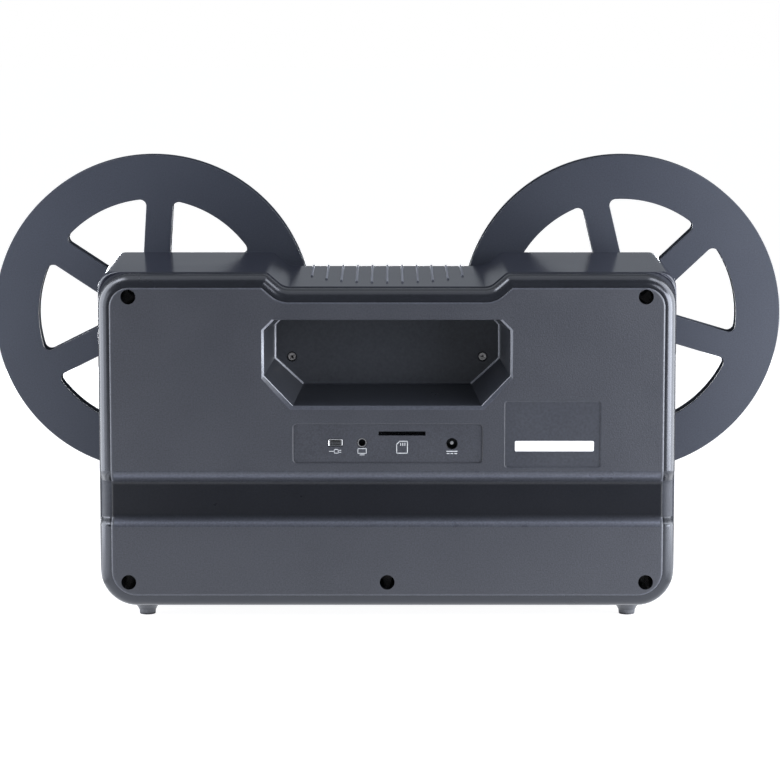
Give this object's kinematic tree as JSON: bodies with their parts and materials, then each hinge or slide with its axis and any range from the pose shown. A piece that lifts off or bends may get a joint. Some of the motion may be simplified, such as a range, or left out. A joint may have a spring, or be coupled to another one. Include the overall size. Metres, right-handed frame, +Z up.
{
  "type": "film scanner",
  "caption": "Desktop scanner for small film reels: wide charcoal case with a rear hand pocket and sockets, reels on front spindles, film gate, screen and keys.",
  "frame": {"origin": "on the table under the middle of the whole scanner, reels included", "axes": "+X to the right as seen from behind, rear panel towards -Y, reels towards +Y, +Z up"},
  "size_m": [0.4394, 0.1616, 0.2354],
  "materials": {
    "case_plastic": "satin moulded charcoal",
    "cover_plastic": "grained panel with smooth border, charcoal",
    "deck_plastic": "matt charcoal",
    "dark_screw": "blackened",
    "rubber": "matt",
    "steel": "plain",
    "plate_steel": "galvanised",
    "circuit_board": "solder mask",
    "black_plastic": "moulded",
    "label": "paper",
    "bezel": "polished",
    "screen_glass": "clear, tinted",
    "screen": "dark display",
    "key_plastic": "satin grey",
    "record_key": "satin red",
    "lens_glass": "coated",
    "track_metal": "bead blasted",
    "white_plastic": "moulded",
    "spindle_metal": "turned",
    "brass": "turned",
    "felt": "felt",
    "reel_plastic": "moulded slate grey"
  },
  "bodies": {
    "case": {"front_casing": "case_plastic", "rear_cover": "cover_plastic", "film_deck": "deck_plastic", "case_screws": "dark_screw", "rubber_feet": "rubber", "handle_screws": "steel", "handle_posts": "deck_plastic", "chassis_plate": "plate_steel", "inner_screws": "steel", "main_board": "circuit_board", "usb_socket": "steel", "av_jack": "black_plastic", "card_socket": "steel", "dc_jack": "black_plastic", "serial_label": "label", "lcd_bezel": "bezel", "lcd_window": "screen_glass", "lcd_module": "screen", "button_board": "circuit_board", "camera_hood": "deck_plastic", "lens_barrel": "black_plastic", "lens_glass": "lens_glass", "sensor_board": "circuit_board", "film_track": "track_metal", "track_screws": "steel", "light_box": "white_plastic", "led_board": "white_plastic", "light_diffuser": "white_plastic", "lid_hinge_pin": "steel", "roller_pins": "steel", "supply_bush": "brass", "takeup_bush": "brass", "takeup_motor": "spindle_metal", "claw_motor": "spindle_metal"},
    "supply_spindle": {"supply_shaft": "spindle_metal", "supply_brake": "felt", "supply_reel_rear_half": "reel_plastic", "supply_reel_front_half": "reel_plastic", "supply_lock_pin": "steel"},
    "takeup_spindle": {"takeup_shaft": "spindle_metal", "takeup_gear": "white_plastic", "takeup_reel_rear_half": "reel_plastic", "takeup_reel_front_half": "reel_plastic", "takeup_lock_pin": "steel"},
    "supply_lock": {"supply_lock_lever": "spindle_metal"},
    "takeup_lock": {"takeup_lock_lever": "spindle_metal"},
    "pinion": {"takeup_pinion": "brass"},
    "lid": {"film_lid": "deck_plastic"},
    "crank": {"claw_crank": "brass"},
    "shuttle": {"claw_shuttle": "steel"},
    "takeup_outer_roller_body": {"takeup_outer_roller": "white_plastic"},
    "takeup_inner_roller_body": {"takeup_inner_roller": "white_plastic"},
    "supply_inner_roller_body": {"supply_inner_roller": "white_plastic"},
    "supply_outer_roller_body": {"supply_outer_roller": "white_plastic"},
    "record_button_key": {"record_button": "record_key"},
    "ok_button_key": {"ok_button": "key_plastic"},
    "right_button_key": {"right_button": "key_plastic"},
    "left_button_key": {"left_button": "key_plastic"},
    "menu_button_key": {"menu_button": "key_plastic"},
    "power_button_key": {"power_button": "key_plastic"}
  },
  "joints": [
    {"name": "supply_spin", "type": "hinge", "parent": "case", "child": "supply_spindle", "pos_m": [0.1308, 0.05925, 0.1465], "axis": [0, 1, 0], "continuous": true},
    {"name": "takeup_spin", "type": "hinge", "parent": "case", "child": "takeup_spindle", "pos_m": [-0.1308, 0.05925, 0.1465], "axis": [0, 1, 0], "continuous": true},
    {"name": "pinion_spin", "type": "hinge", "parent": "case", "child": "pinion", "pos_m": [-0.11521, 0.00925, 0.13091], "axis": [0, 1, 0], "continuous": true},
    {"name": "supply_lock_flip", "type": "hinge", "parent": "supply_spindle", "child": "supply_lock", "pos_m": [0.1308, 0.07675, 0.1465], "axis": [1, 0, 0], "range_deg": [0, 90]},
    {"name": "takeup_lock_flip", "type": "hinge", "parent": "takeup_spindle", "child": "takeup_lock", "pos_m": [-0.1308, 0.07675, 0.1465], "axis": [1, 0, 0], "range_deg": [0, 90]},
    {"name": "lid_hinge", "type": "hinge", "parent": "case", "child": "lid", "pos_m": [0, 0.05675, 0.0529], "axis": [1, 0, 0], "range_deg": [0, 75]},
    {"name": "takeup_outer_roller_spin", "type": "hinge", "parent": "case", "child": "takeup_outer_roller_body", "pos_m": [-0.078, 0.06575, 0.0644], "axis": [0, 1, 0], "continuous": true},
    {"name": "takeup_inner_roller_spin", "type": "hinge", "parent": "case", "child": "takeup_inner_roller_body", "pos_m": [-0.053, 0.06575, 0.057], "axis": [0, 1, 0], "continuous": true},
    {"name": "supply_inner_roller_spin", "type": "hinge", "parent": "case", "child": "supply_inner_roller_body", "pos_m": [0.053, 0.06575, 0.057], "axis": [0, 1, 0], "continuous": true},
    {"name": "supply_outer_roller_spin", "type": "hinge", "parent": "case", "child": "supply_outer_roller_body", "pos_m": [0.078, 0.06575, 0.0644], "axis": [0, 1, 0], "continuous": true},
    {"name": "record_button_press", "type": "slide", "parent": "case", "child": "record_button_key", "axis": [0, -1, 0], "range_m": [0, 0.0008], "stiffness_N_per_m": 400, "springref_m": -0.0004},
    {"name": "ok_button_press", "type": "slide", "parent": "case", "child": "ok_button_key", "axis": [0, -1, 0], "range_m": [0, 0.0008], "stiffness_N_per_m": 400, "springref_m": -0.0004},
    {"name": "right_button_press", "type": "slide", "parent": "case", "child": "right_button_key", "axis": [0, -1, 0], "range_m": [0, 0.0008], "stiffness_N_per_m": 400, "springref_m": -0.0004},
    {"name": "left_button_press", "type": "slide", "parent": "case", "child": "left_button_key", "axis": [0, -1, 0], "range_m": [0, 0.0008], "stiffness_N_per_m": 400, "springref_m": -0.0004},
    {"name": "menu_button_press", "type": "slide", "parent": "case", "child": "menu_button_key", "axis": [0, -1, 0], "range_m": [0, 0.0008], "stiffness_N_per_m": 400, "springref_m": -0.0004},
    {"name": "power_button_press", "type": "slide", "parent": "case", "child": "power_button_key", "axis": [0, -1, 0], "range_m": [0, 0.0008], "stiffness_N_per_m": 400, "springref_m": -0.0004},
    {"name": "crank_spin", "type": "hinge", "parent": "case", "child": "crank", "pos_m": [0.03, 0.05725, 0.026], "axis": [0, 1, 0], "continuous": true},
    {"name": "shuttle_slide", "type": "slide", "parent": "case", "child": "shuttle", "axis": [1, 0, 0], "range_m": [-0.0021, 0.0021]}
  ],
  "couplings": [
    {"joint": "pinion_spin", "follows": "takeup_spin", "ratio": -2.6667}
  ]
}
